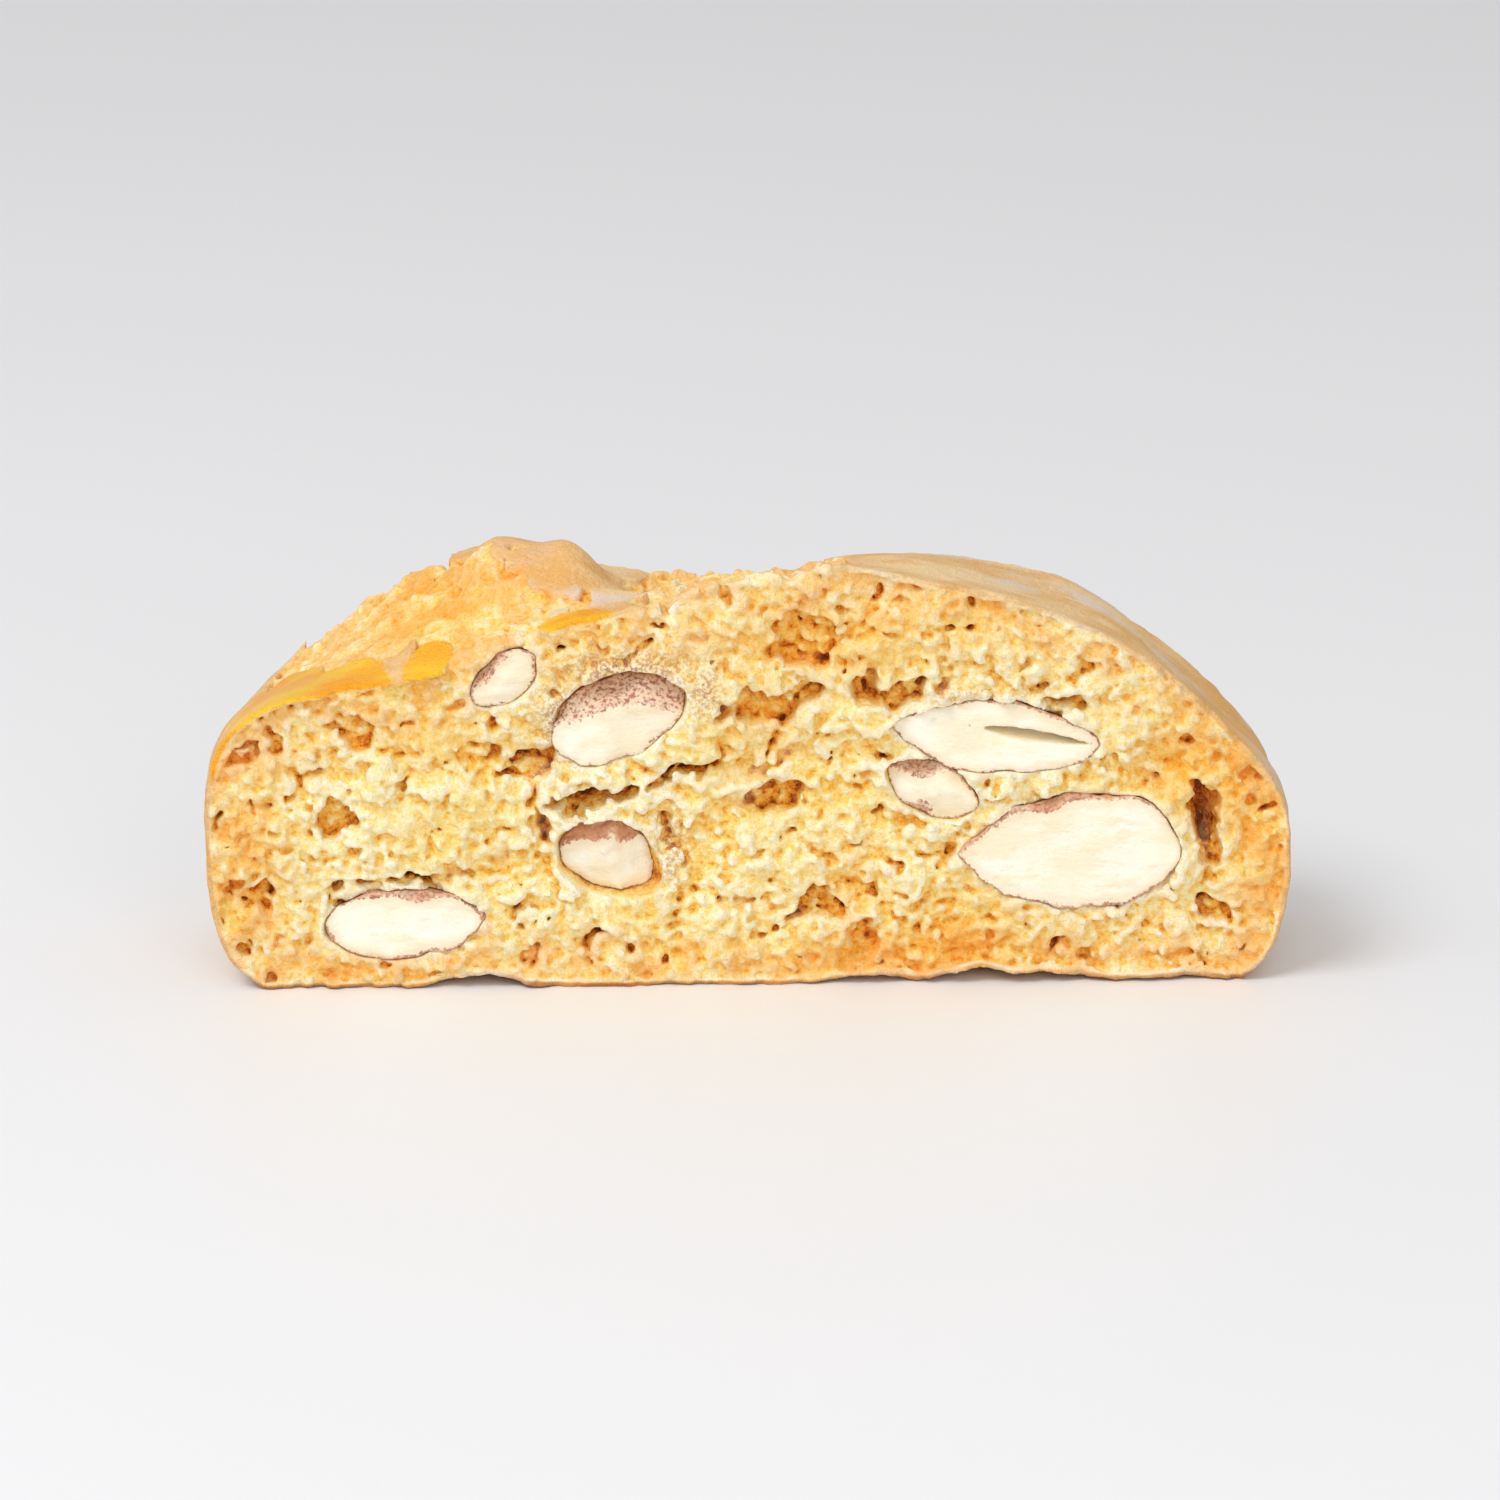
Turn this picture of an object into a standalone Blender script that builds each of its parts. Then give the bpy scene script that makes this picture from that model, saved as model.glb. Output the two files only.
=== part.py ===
"""A cantuccio: one slice of a twice-baked almond biscuit, cut across its loaf.

Metres, +Z up, with the origin on the table under the middle of the slice. X runs along the
slice. The front cut faces -Y and the back cut +Y. The slice stands on the loaf's flat base,
and the kernels that the knife went through show in both cuts.
"""

import math
from typing import NamedTuple

import bmesh
import bpy
from mathutils import Matrix, Vector
from mathutils.geometry import delaunay_2d_cdt

MM = 0.001

THICKNESS = 19.5 * MM  # from cut to cut
EDGE_WEAR = 0.5 * MM  # lost round the rim of each cut
EDGE_DEPTH = 0.7 * MM  # how far that wear reaches along the crust
CRUMB_RELIEF = 0.3 * MM  # unevenness of a cut
CRUST_RELIEF = 0.25 * MM  # unevenness of the crust
KERNEL_SINK = 0.35 * MM  # of a kernel's cut face below the highest crumb
GAP = 0.3 * MM  # between a kernel and the dough that holds it

# The loaf's section above its base, from the left foot over the top to the right foot, in
# millimetres: x, then the height at the front cut and at the back cut.
LOAF = (
    (-42.8, 0.0, 0.0),
    (-45.8, 3.0, 3.0),
    (-47.4, 9.5, 9.0),
    (-47.5, 17.0, 14.8),
    (-45.8, 22.5, 18.8),
    (-41.5, 25.7, 23.6),
    (-36.0, 27.1, 28.6),
    (-30.0, 28.4, 33.1),
    (-25.0, 29.3, 34.1),
    (-20.0, 31.6, 34.2),
    (-14.5, 33.2, 33.0),
    (-9.5, 34.4, 32.4),
    (-3.5, 36.8, 32.4),
    (6.5, 37.9, 33.2),
    (18.0, 35.7, 33.4),
    (29.0, 32.3, 30.6),
    (35.5, 28.1, 26.4),
    (41.0, 23.0, 21.4),
    (46.0, 17.0, 15.6),
    (46.7, 10.5, 10.2),
    (45.8, 3.4, 3.4),
    (42.6, 0.0, 0.0),
)
SPAN_STEPS = 4  # outline points between two of the loaf's
BASE_STEPS = 20  # outline points along the base
STATIONS = (-0.5, -0.464, -0.36, -0.22, -0.07, 0.08, 0.22, 0.36, 0.464, 0.5)  # of THICKNESS
CAP_STEP = 3.3 * MM  # between points inside a cut face
FOOT_BULGE = 0.5 * MM  # how far each end of the base bows out between the cuts

KERNEL_SIDES = 16
KERNEL_STATIONS = 12
KERNEL_POINT = 0.4  # how much the tip is sharper than the round end
PIT_RINGS = 8


class Mound(NamedTuple):
    """A swelling of the top crust; millimetres."""

    x: float
    y: float
    height: float
    half_x: float
    half_y: float


class Arch(NamedTuple):
    """Where the front edge of the base lifts off the table; millimetres."""

    x: float
    half_width: float
    height: float


class Kernel(NamedTuple):
    """An almond cut by the knife: its section in the cut, and its reach behind it; mm, degrees."""

    name: str
    x: float
    z: float
    length: float
    height: float
    reach: float
    tilt: float  # of the tip above +X
    lean: float = 0.0  # of the tip into the dough


class Pit(NamedTuple):
    """A hollow baked or broken into a cut face; millimetres and degrees."""

    name: str
    x: float
    z: float
    length: float
    height: float
    depth: float
    tilt: float


MOUNDS = (
    Mound(-21.8, 1.5, 4.3, 4.5, 5.5),
    Mound(-15.6, 1.5, 3.4, 2.9, 5.0),
    Mound(13.0, 1.0, 0.6, 6.0, 5.0),
)
ARCHES = (
    Arch(-23.5, 3.5, 1.2),
    Arch(10.0, 1.6, 1.3),
    Arch(19.5, 3.2, 1.5),
    Arch(26.5, 3.2, 0.9),
    Arch(37.0, 4.5, 0.4),
)
ARCH_FADE = 3.0 * MM  # how fast an arch closes behind the front cut

FRONT_KERNELS = (
    Kernel("lower_left", -30.3, 5.8, 14.4, 6.0, 5.0, 5.5, 10.0),
    Kernel("low_middle", -12.3, 11.2, 10.8, 7.0, 5.2, -26.0, 25.0),
    Kernel("high_middle", -11.2, 24.3, 13.4, 7.2, 4.8, 24.0, 12.0),
    Kernel("upper_left", -21.4, 28.0, 7.2, 3.6, 3.2, 41.0, 20.0),
    Kernel("right_top", 20.9, 22.4, 18.5, 6.4, 5.4, 174.5, 0.0),
    Kernel("right_middle", 15.5, 17.5, 9.2, 4.7, 4.4, 156.0, 10.0),
    Kernel("right_low", 27.4, 11.8, 19.8, 10.7, 4.0, 181.0, 0.0),
)
BACK_KERNELS = (
    Kernel("back_1", -33.0, 9.0, 17.5, 7.6, 4.6, 168.0, 5.0),
    Kernel("back_2", -20.5, 23.5, 15.0, 7.0, 4.4, 24.0, 10.0),
    Kernel("back_3", -5.0, 12.0, 12.5, 8.8, 5.0, -38.0, 20.0),
    Kernel("back_4", 14.5, 21.5, 19.0, 10.2, 4.2, 10.0, 0.0),
    Kernel("back_5", 32.0, 10.5, 17.0, 6.4, 5.2, 196.0, 5.0),
)
FRONT_PITS = (
    Pit("crevice_left", -14.2, 16.6, 8.6, 2.4, 3.0, 17.0),
    Pit("crevice_right", -6.4, 19.4, 8.0, 2.0, 2.6, 24.0),
    Pit("behind_kernel", 38.9, 14.2, 7.4, 3.0, 3.4, -78.0),
    Pit("upper_hole", 10.2, 27.2, 4.4, 3.2, 2.4, 60.0),
    Pit("left_hole", -23.3, 21.4, 2.6, 2.0, 1.8, 10.0),
    Pit("low_hole", 9.6, 3.2, 4.6, 4.4, 1.8, 40.0),
    Pit("over_kernel", -29.5, 10.0, 8.0, 1.5, 2.2, 4.0),
)
BACK_PITS = (
    Pit("back_crevice", 2.0, 20.5, 10.0, 2.2, 2.8, -28.0),
    Pit("back_hole_left", -39.0, 16.5, 4.2, 3.0, 2.2, 60.0),
    Pit("back_hole_right", 31.5, 21.0, 4.0, 3.0, 2.4, 30.0),
)


def new_material(name, colour, roughness):
    """A Principled material of an even colour (linear RGB)."""
    material = bpy.data.materials.new(name)
    material.use_nodes = True
    shader = material.node_tree.nodes["Principled BSDF"]
    shader.inputs["Base Color"].default_value = (*colour, 1.0)
    shader.inputs["Roughness"].default_value = roughness
    return material


def new_object(name, bm, materials):
    """Links bm's mesh to the scene under this name, and frees bm."""
    mesh = bpy.data.meshes.new(name)
    bmesh.ops.recalc_face_normals(bm, faces=bm.faces)
    bm.to_mesh(mesh)
    bm.free()
    for material in materials:
        mesh.materials.append(material)
    mesh.shade_smooth()
    mesh.set_sharp_from_angle(angle=math.radians(50))
    obj = bpy.data.objects.new(name, mesh)
    bpy.context.scene.collection.objects.link(obj)
    return obj


def bell(distance, reach):
    """1 at no distance, falling smoothly towards 0 past the reach."""
    return math.exp(-((distance / reach) ** 2))


def through(points, steps):
    """A Catmull-Rom curve through the points, with this many steps between two of them."""
    ends = [points[0] * 2 - points[1], *points, points[-1] * 2 - points[-2]]
    curve = []
    for before, start, end, after in zip(ends, ends[1:], ends[2:], ends[3:]):
        for step in range(steps):
            t = step / steps
            curve.append(
                0.5
                * (
                    start * 2
                    + (end - before) * t
                    + (before * 2 - start * 5 + end * 4 - after) * t**2
                    + (start * 3 - before - end * 3 + after) * t**3
                )
            )
    return curve + [points[-1]]


def crust_swell(x, y, z):
    """How far the crust stands out of the plain loaf at this point."""
    wave = math.sin(410 * x + 260 * y + 1.3) + math.sin(230 * z - 350 * y + 170 * x)
    mounds = sum(
        m.height * MM * bell(x - m.x * MM, m.half_x * MM) * bell(y - m.y * MM, m.half_y * MM)
        for m in MOUNDS
    )
    top = min(1.0, z / (30 * MM)) ** 4
    return CRUST_RELIEF * 0.5 * wave + mounds * top


def base_lift(x, y):
    """How far the base stands off the table, which is only at its front edge."""
    lift = sum(a.height * MM * bell(x - a.x * MM, a.half_width * MM) for a in ARCHES)
    return lift * bell(y + THICKNESS / 2, ARCH_FADE)


def section(y):
    """The loaf's closed outline at this depth, as points (x, z), clockwise from the left foot."""
    back = y / THICKNESS + 0.5
    corners = [Vector((x, low + (high - low) * back)) * MM for x, low, high in LOAF]
    arc = through(corners, SPAN_STEPS)
    outline = []
    for i, point in enumerate(arc):
        along = arc[min(i + 1, len(arc) - 1)] - arc[max(i - 1, 0)]
        out = Vector((-along.y, along.x)).normalized()
        foot = min(1.0, point.y / (6 * MM))
        swollen = point + out * crust_swell(point.x, y, point.y) * foot
        bow = FOOT_BULGE * (1 - (2 * y / THICKNESS) ** 2) * (1 - foot)
        outline.append(swollen + Vector((math.copysign(bow, point.x), 0)))
    left, right = outline[0], outline[-1]
    for step in range(1, BASE_STEPS):
        x = right.x + (left.x - right.x) * step / BASE_STEPS
        outline.append(Vector((x, base_lift(x, y))))
    return outline


def inset(outline, distance):
    """The outline moved inwards along its own normals."""
    moved = []
    for i, point in enumerate(outline):
        along = outline[(i + 1) % len(outline)] - outline[i - 1]
        moved.append(point - Vector((-along.y, along.x)).normalized() * distance)
    return moved


def inside_points(outline):
    """A staggered grid of points inside the outline, clear of it."""
    rows = []
    low = min(p.x for p in outline)
    high = max(p.x for p in outline)
    top = max(p.y for p in outline)
    closed = list(zip(outline, outline[1:] + outline[:1]))
    row = 0
    z = CAP_STEP * 0.8
    while z < top:
        x = low + CAP_STEP * (0.5 + 0.5 * (row % 2))
        while x < high:
            crossings = sum(
                (a.y > z) != (b.y > z) and x < a.x + (z - a.y) * (b.x - a.x) / (b.y - a.y)
                for a, b in closed
            )
            clear = min((p - Vector((x, z))).length for p in outline) > CAP_STEP * 0.6
            if crossings % 2 and clear:
                rows.append(Vector((x, z)))
            x += CAP_STEP
        z += CAP_STEP * math.sqrt(0.75)
        row += 1
    return rows


def crumb_height(x, z, side):
    """Unevenness of a cut face, below zero towards the inside of the slice."""
    wave = math.sin(520 * x + 300 * z + 2 * side) + math.sin(610 * z - 410 * x + side)
    return CRUMB_RELIEF * 0.5 * (wave - 2)


def add_cut_face(bm, ring, outline, side):
    """Closes the ring with an uneven cut face. side is -1 in front and 1 at the back."""
    inner = inside_points(outline)
    rim = [(i, (i + 1) % len(outline)) for i in range(len(outline))]
    points, _, faces, sources, *_ = delaunay_2d_cdt(outline + inner, rim, [], 1, 1e-7)
    verts = []
    for point, source in zip(points, sources):
        if source and source[0] < len(ring):
            verts.append(ring[source[0]])
        else:
            y = side * (THICKNESS / 2 + crumb_height(point.x, point.y, side))
            verts.append(bm.verts.new((point.x, y, point.y)))
    for face in faces:
        bm.faces.new([verts[i] for i in face]).material_index = 1


def make_dough(materials):
    """The slice without its kernels: crust all round, and a cut face at each end."""
    bm = bmesh.new()
    rings = []
    outlines = []
    for share in STATIONS:
        y = share * THICKNESS
        wear = EDGE_WEAR * max(0.0, 1 - (THICKNESS / 2 - abs(y)) / EDGE_DEPTH)
        outline = inset(section(y), wear)
        outlines.append(outline)
        rings.append([bm.verts.new((p.x, y, p.y)) for p in outline])
    for near, far in zip(rings, rings[1:]):
        for i in range(len(near)):
            j = (i + 1) % len(near)
            bm.faces.new((near[i], near[j], far[j], far[i]))
    add_cut_face(bm, rings[0], outlines[0], -1)
    add_cut_face(bm, rings[-1], outlines[-1], 1)
    bmesh.ops.triangulate(bm, faces=bm.faces)
    return new_object("baked_dough", bm, materials)


def kernel_mesh(kernel, side, grow):
    """The whole kernel, round at one end and pointed at the other, with its middle in the cut."""
    half = Vector((kernel.length / 2, kernel.reach, kernel.height / 2)) * MM
    half += Vector((grow, grow, grow))
    bm = bmesh.new()
    round_end = bm.verts.new((-half.x, 0, 0))
    tip = bm.verts.new((half.x, 0, 0))
    rings = []
    for station in range(1, KERNEL_STATIONS):
        u = -math.cos(math.pi * station / KERNEL_STATIONS)
        girth = (1 - u * u) ** (0.5 + KERNEL_POINT * max(u, 0.0))
        ring = []
        for k in range(KERNEL_SIDES):
            angle = 2 * math.pi * (k + 0.5) / KERNEL_SIDES
            y, z = girth * half.y * math.cos(angle), girth * half.z * math.sin(angle)
            ring.append(bm.verts.new((u * half.x, y, z)))
        rings.append(ring)
    for k in range(KERNEL_SIDES):
        j = (k + 1) % KERNEL_SIDES
        bm.faces.new((round_end, rings[0][k], rings[0][j]))
        bm.faces.new((tip, rings[-1][j], rings[-1][k]))
        for near, far in zip(rings, rings[1:]):
            bm.faces.new((near[k], near[j], far[j], far[k]))
    turn = Matrix.Rotation(-math.radians(kernel.tilt), 4, "Y")
    lean = Matrix.Rotation(-side * math.radians(kernel.lean), 4, "Z")
    place = Matrix.Translation((kernel.x * MM, cut_plane(side), kernel.z * MM))
    bm.transform(place @ turn @ lean)
    return bm


def cut_plane(side):
    """Where the kernels' cut faces lie, along Y."""
    return side * (THICKNESS / 2 - KERNEL_SINK)


def make_kernel(kernel, side, materials):
    """A kernel with the half outside the slice cut off."""
    bm = kernel_mesh(kernel, side, 0.0)
    everything = list(bm.verts) + list(bm.edges) + list(bm.faces)
    plane = (0, cut_plane(side), 0)
    cut = bmesh.ops.bisect_plane(
        bm, geom=everything, plane_co=plane, plane_no=(0, side, 0), clear_outer=True
    )
    rim = [item for item in cut["geom_cut"] if isinstance(item, bmesh.types.BMEdge)]
    filled = bmesh.ops.holes_fill(bm, edges=rim, sides=0)
    for face in filled["faces"]:
        face.material_index = 1
    bmesh.ops.triangulate(bm, faces=bm.faces)
    return new_object(f"almond_{kernel.name}", bm, materials)


def pit_mesh(pit, side):
    """A flattened ball that reaches into the cut face."""
    bm = bmesh.new()
    bmesh.ops.create_uvsphere(bm, u_segments=PIT_RINGS, v_segments=PIT_RINGS // 2 + 1, radius=1)
    half = Vector((pit.length / 2, pit.depth, pit.height / 2)) * MM
    turn = Matrix.Rotation(-math.radians(pit.tilt), 4, "Y")
    place = Matrix.Translation((pit.x * MM, side * THICKNESS / 2, pit.z * MM))
    bm.transform(place @ turn @ Matrix.Diagonal((*half, 1)))
    return bm


def cut_with(obj, name, bm):
    """Takes bm's closed shape out of obj."""
    cutter = new_object(name, bm, [])
    cutter.hide_render = True
    cutter.display_type = "WIRE"
    boolean = obj.modifiers.new(name, "BOOLEAN")
    boolean.operation = "DIFFERENCE"
    boolean.solver = "EXACT"
    boolean.object = cutter


def main():
    for obj in list(bpy.data.objects):
        bpy.data.objects.remove(obj)
    crust = new_material("crust", (0.62, 0.36, 0.13), 0.6)
    crumb = new_material("crumb", (0.84, 0.62, 0.28), 0.9)
    skin = new_material("almond skin", (0.33, 0.15, 0.07), 0.7)
    meat = new_material("almond meat", (0.87, 0.80, 0.64), 0.55)
    dough = make_dough([crust, crumb])
    for side, kernels, pits in ((-1, FRONT_KERNELS, FRONT_PITS), (1, BACK_KERNELS, BACK_PITS)):
        for kernel in kernels:
            make_kernel(kernel, side, [skin, meat])
            cut_with(dough, f"socket_{kernel.name}", kernel_mesh(kernel, side, GAP))
        for pit in pits:
            cut_with(dough, f"pit_{pit.name}", pit_mesh(pit, side))


main()
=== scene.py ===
"""The looks of the almond biscotto slice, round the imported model.

The dough is worked out as a field on a grid of points, positive inside, and meshed: the loaf's
baked surface, two cut faces where the crumb broke along its own granules, and the kernels'
sockets. Lengths are in millimetres up to the meshes, which are in metres.
"""

import math
from typing import NamedTuple

import bpy
import numpy as np
import openvdb
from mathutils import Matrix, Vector

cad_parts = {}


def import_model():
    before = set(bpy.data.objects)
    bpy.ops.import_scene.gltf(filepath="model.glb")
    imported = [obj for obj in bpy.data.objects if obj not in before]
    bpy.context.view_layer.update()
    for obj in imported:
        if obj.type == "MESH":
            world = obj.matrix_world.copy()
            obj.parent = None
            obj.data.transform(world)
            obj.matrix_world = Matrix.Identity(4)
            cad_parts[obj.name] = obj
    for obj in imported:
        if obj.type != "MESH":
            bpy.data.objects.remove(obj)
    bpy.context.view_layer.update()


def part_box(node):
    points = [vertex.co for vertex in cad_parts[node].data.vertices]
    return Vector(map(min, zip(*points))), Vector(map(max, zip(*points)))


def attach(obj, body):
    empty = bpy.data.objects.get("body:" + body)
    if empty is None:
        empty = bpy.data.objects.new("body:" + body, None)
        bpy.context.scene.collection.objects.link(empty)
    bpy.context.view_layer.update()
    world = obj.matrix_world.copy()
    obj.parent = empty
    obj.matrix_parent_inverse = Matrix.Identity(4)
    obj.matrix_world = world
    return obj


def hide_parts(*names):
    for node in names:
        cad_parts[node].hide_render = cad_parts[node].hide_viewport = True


MM = 0.001
VOXEL = 0.2  # between points of the fine grid
MERGE = 0.02  # how freely nearly flat faces are joined
COARSE = 0.6  # between points where the plain loaf is worked out
MARGIN = 1.4  # of the grid round the loaf

SPLINE_SPREAD = 0.692  # of a cubic B-spline through random values, for each axis
THICKNESS = 19.5  # between the cuts, as in part.py
KERNEL_SINK = 0.35  # of the cut kernels' faces behind the cut plane, as in part.py
KERNEL_STEP = 0.17  # between points of the grids of the kernels in front
BACK_KERNEL_STEP = 0.24
CREASE_TURN = 18.0  # degrees that the crumb's creases rise to the right
TOP_FROM = 15.0  # the lowest that a broken patch of the top crust reaches
CRUST_THICK = 0.8
SOCKET_GAP = 0.04
# The crumb's heaps: how far apart, how high and a seed.
HEAPS = ((2.4, 0.46, 60), (1.15, 0.26, 61), (0.55, 0.1, 62))
# Its granules: how far apart, least and greatest radius, share kept and seed.
GRANULES = ((1.0, 0.3, 0.55, 0.4, 64), (0.6, 0.2, 0.36, 0.8, 65))
FUSE = 9.0  # how sharply granules join, for each millimetre
PROUD = 0.3  # how far the crumb's tips may pass the cut plane

CAMERA_AZIMUTH = -1.8
CAMERA_ELEVATION = 17.0
CAMERA_DISTANCE = 0.6
CAMERA_AIM = (0, 0, 0.0185)
FRAME_WIDTH = 0.1316  # of what the camera sees at the slice
LAMPS = (("key", (-0.45, -0.35, 0.75), 0.5, 4.4), ("front", (0.15, -0.8, 0.35), 0.6, 1.9))

# The loaf's form, which repeats part.py's: x, then the height at the front and at the back cut.
LOAF = (
    (-42.8, 0.0, 0.0),
    (-45.8, 3.0, 3.0),
    (-47.4, 9.5, 9.0),
    (-47.5, 17.0, 14.8),
    (-45.8, 22.5, 18.8),
    (-41.5, 25.7, 23.6),
    (-36.0, 27.1, 28.6),
    (-30.0, 28.4, 33.1),
    (-25.0, 29.3, 34.1),
    (-20.0, 31.6, 34.2),
    (-14.5, 33.2, 33.0),
    (-9.5, 34.4, 32.4),
    (-3.5, 36.8, 32.4),
    (6.5, 37.9, 33.2),
    (18.0, 35.7, 33.4),
    (29.0, 32.3, 30.6),
    (35.5, 28.1, 26.4),
    (41.0, 23.0, 21.4),
    (46.0, 17.0, 15.6),
    (46.7, 10.5, 10.2),
    (45.8, 3.4, 3.4),
    (42.6, 0.0, 0.0),
)
SPAN_STEPS = 6
BASE_STEPS = 30
CRUST_RELIEF = 0.25
ARCH_FADE = 3.0
FOOT_BULGE = 0.5
KERNEL_POINT = 0.4
PIT_DEEPER = 1.35  # than in part.py


class Mound(NamedTuple):
    """A swelling of the top crust."""

    x: float
    y: float
    height: float
    half_x: float
    half_y: float


class Arch(NamedTuple):
    """Where the front edge of the base lifts off the table."""

    x: float
    half_width: float
    height: float


class Kernel(NamedTuple):
    """An almond cut by the knife, as in part.py."""

    name: str
    x: float
    z: float
    length: float
    height: float
    reach: float
    tilt: float
    lean: float = 0.0


class Pit(NamedTuple):
    """A hollow in a cut face, as in part.py."""

    x: float
    z: float
    length: float
    height: float
    depth: float
    tilt: float


MOUNDS = (
    Mound(-21.8, 1.5, 4.3, 4.5, 5.5),
    Mound(-15.6, 1.5, 3.4, 2.9, 5.0),
    Mound(13.0, 1.0, 0.6, 6.0, 5.0),
)
ARCHES = (
    Arch(-23.5, 3.5, 1.2),
    Arch(10.0, 1.6, 1.3),
    Arch(19.5, 3.2, 1.5),
    Arch(26.5, 3.2, 0.9),
    Arch(37.0, 4.5, 0.4),
)
FRONT_KERNELS = (
    Kernel("lower_left", -30.3, 5.8, 14.4, 6.0, 5.0, 5.5, 10.0),
    Kernel("low_middle", -12.3, 11.2, 10.8, 7.0, 5.2, -26.0, 25.0),
    Kernel("high_middle", -11.2, 24.3, 13.4, 7.2, 4.8, 24.0, 12.0),
    Kernel("upper_left", -21.4, 28.0, 7.2, 3.6, 3.2, 41.0, 20.0),
    Kernel("right_top", 20.9, 22.4, 18.5, 6.4, 5.4, 174.5, 0.0),
    Kernel("right_middle", 15.5, 17.5, 9.2, 4.7, 4.4, 156.0, 10.0),
    Kernel("right_low", 27.4, 11.8, 19.8, 10.7, 4.0, 181.0, 0.0),
)
BACK_KERNELS = (
    Kernel("back_1", -33.0, 9.0, 17.5, 7.6, 4.6, 168.0, 5.0),
    Kernel("back_2", -20.5, 23.5, 15.0, 7.0, 4.4, 24.0, 10.0),
    Kernel("back_3", -5.0, 12.0, 12.5, 8.8, 5.0, -38.0, 20.0),
    Kernel("back_4", 14.5, 21.5, 19.0, 10.2, 4.2, 10.0, 0.0),
    Kernel("back_5", 32.0, 10.5, 17.0, 6.4, 5.2, 196.0, 5.0),
)
FRONT_PITS = (
    Pit(-14.2, 16.6, 8.6, 2.4, 3.0, 17.0),
    Pit(-6.4, 19.4, 8.0, 2.0, 2.6, 24.0),
    Pit(38.9, 14.2, 7.4, 3.0, 3.4, -78.0),
    Pit(10.2, 27.2, 4.4, 3.2, 2.4, 60.0),
    Pit(-23.3, 21.4, 2.6, 2.0, 1.8, 10.0),
    Pit(9.6, 3.2, 4.6, 4.4, 1.8, 40.0),
    Pit(-29.5, 10.0, 8.0, 1.5, 2.2, 4.0),
)
BACK_PITS = (
    Pit(2.0, 20.5, 10.0, 2.2, 2.8, -28.0),
    Pit(-39.0, 16.5, 4.2, 3.0, 2.2, 60.0),
    Pit(31.5, 21.0, 4.0, 3.0, 2.4, 30.0),
)


class Patch(NamedTuple):
    """A place where the top crust is broken away, seen from above."""

    x: float
    y: float
    half_x: float
    half_y: float
    depth: float


BROKEN = (
    Patch(-1.5, 0.0, 10.0, 16.0, 1.3),
    Patch(-33.0, 3.5, 10.0, 9.0, 0.3),
    Patch(-22.5, -4.4, 7.5, 5.0, 0.35),
    Patch(-21.2, -0.5, 1.6, 1.3, 1.5),
    Patch(-18.0, -2.4, 0.9, 0.8, 1.2),
    Patch(35.8, -9.4, 1.5, 2.8, 1.2),
)


class Stain(NamedTuple):
    """A place seen from the front whose colour differs."""

    x: float
    z: float
    half_x: float
    half_z: float
    amount: float


class Edge(NamedTuple):
    """A side of a kernel where the skin shows: its direction, distance from the middle and slope."""

    angle: float
    limit: float
    slope: float


class Look(NamedTuple):
    """How a kernel's cut face broke."""

    facets: int
    tilt: float
    relief: float
    dust: float
    edges: tuple


class Split(NamedTuple):
    """The gap between the halves of one kernel."""

    kernel: str
    start_x: float
    start_z: float
    end_x: float
    end_z: float
    width: float
    depth: float


GLAZED = (
    Patch(-41.0, -5.6, 6.8, 6.6, 0),
    Patch(-35.5, -7.6, 4.6, 4.6, 0),
    Patch(-28.2, -7.9, 2.5, 3.2, 0),
    Patch(-15.4, -8.6, 3.3, 2.2, 0),
)
# Specks of the kernels' skins in the front crumb.
STAINS = (
    Stain(-10.6, 28.6, 5.5, 1.5, 1.0),
    Stain(-16.8, 24.2, 1.8, 3.6, 0.8),
    Stain(-4.2, 26.6, 1.4, 2.2, 0.8),
    Stain(-7.2, 12.0, 1.4, 3.0, 0.7),
    Stain(19.0, 26.2, 7.0, 0.9, 0.35),
)
# Where the crumb is more golden than elsewhere.
GOLDEN = (
    Stain(6.0, 31.0, 9.0, 3.6, 1.0),
    Stain(1.0, 24.5, 4.0, 4.0, 0.7),
    Stain(16.0, 3.5, 9.0, 3.0, 0.9),
    Stain(8.0, 9.0, 3.0, 4.0, 0.6),
    Stain(-44.0, 12.0, 4.0, 9.0, 0.7),
    Stain(45.0, 12.0, 4.5, 9.0, 0.7),
    Stain(-30.0, 22.5, 9.0, 2.5, 0.5),
    Stain(-36.0, 2.0, 8.0, 2.0, 0.5),
    Stain(-31.0, 33.0, 9.0, 4.0, 0.8),
    Stain(-19.5, 38.0, 7.0, 3.0, 0.9),
    Stain(39.0, 19.0, 6.0, 5.0, 1.0),
)
LOOKS = {
    "lower_left": Look(3, 0.05, 0.08, 0.5, (Edge(97, 2.4, 40), Edge(182, 6.3, 55))),
    "low_middle": Look(8, 0.3, 0.1, 0.2, (Edge(118, 2.3, 42), Edge(40, 1.9, 38))),
    "high_middle": Look(6, 0.12, 0.08, 0.9, (Edge(108, 1.2, 34), Edge(60, 2.4, 40))),
    "upper_left": Look(5, 0.16, 0.12, 0.9, (Edge(135, 1.0, 35),)),
    "right_top": Look(2, 0.03, 0.04, 0.5, (Edge(176, 8.5, 30),)),
    "right_middle": Look(7, 0.2, 0.12, 0.7, (Edge(195, 3.0, 38), Edge(245, 1.5, 35), Edge(100, 1.6, 35))),
    "right_low": Look(2, 0.02, 0.04, 0.4, (Edge(91, 4.7, 30),)),
}
BACK_LOOK = Look(3, 0.06, 0.05, 0.5, (Edge(100, 3.0, 40),))
SPLIT = Split("right_top", 19.8, 23.1, 29.0, 21.6, 1.25, 2.6)


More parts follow.
